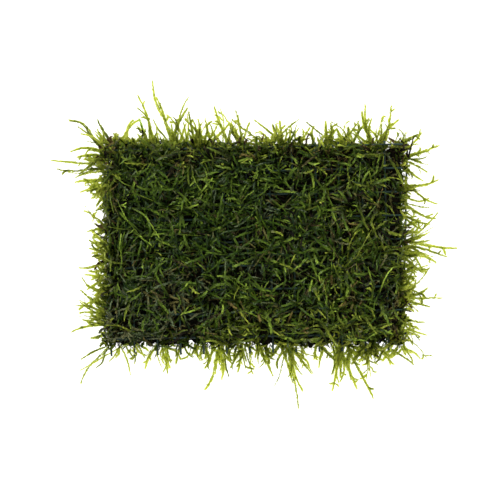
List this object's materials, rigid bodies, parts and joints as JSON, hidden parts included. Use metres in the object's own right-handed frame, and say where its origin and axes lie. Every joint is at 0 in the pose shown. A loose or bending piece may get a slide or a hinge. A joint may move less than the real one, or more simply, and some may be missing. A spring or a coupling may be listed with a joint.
{
  "type": "moss mat",
  "caption": "Rectangular mat of leafy aquarium moss grown between cut sheets of coated welded wire mesh, with a loose fringe on all sides; lies flat or lines a tank.",
  "frame": {"origin": "centre of the base: the middle of the bounding box in X and Y, at the height of the surface that the mat lies on", "axes": "+X along the mat's long side, to the right in the picture; +Y along its short side, up in the picture; +Z out of its front"},
  "size_m": [0.2226, 0.179, 0.0183],
  "materials": {
    "coated_wire": "satin dark green plastic coat on steel wire",
    "moss": "wet, softly glossy leafy moss, yellow-green at its tips and dark inside"
  },
  "bodies": {
    "root": {"wire_mesh_back": "coated_wire", "moss_mat": "moss", "wire_mesh_front": "coated_wire"}
  },
  "joints": []
}
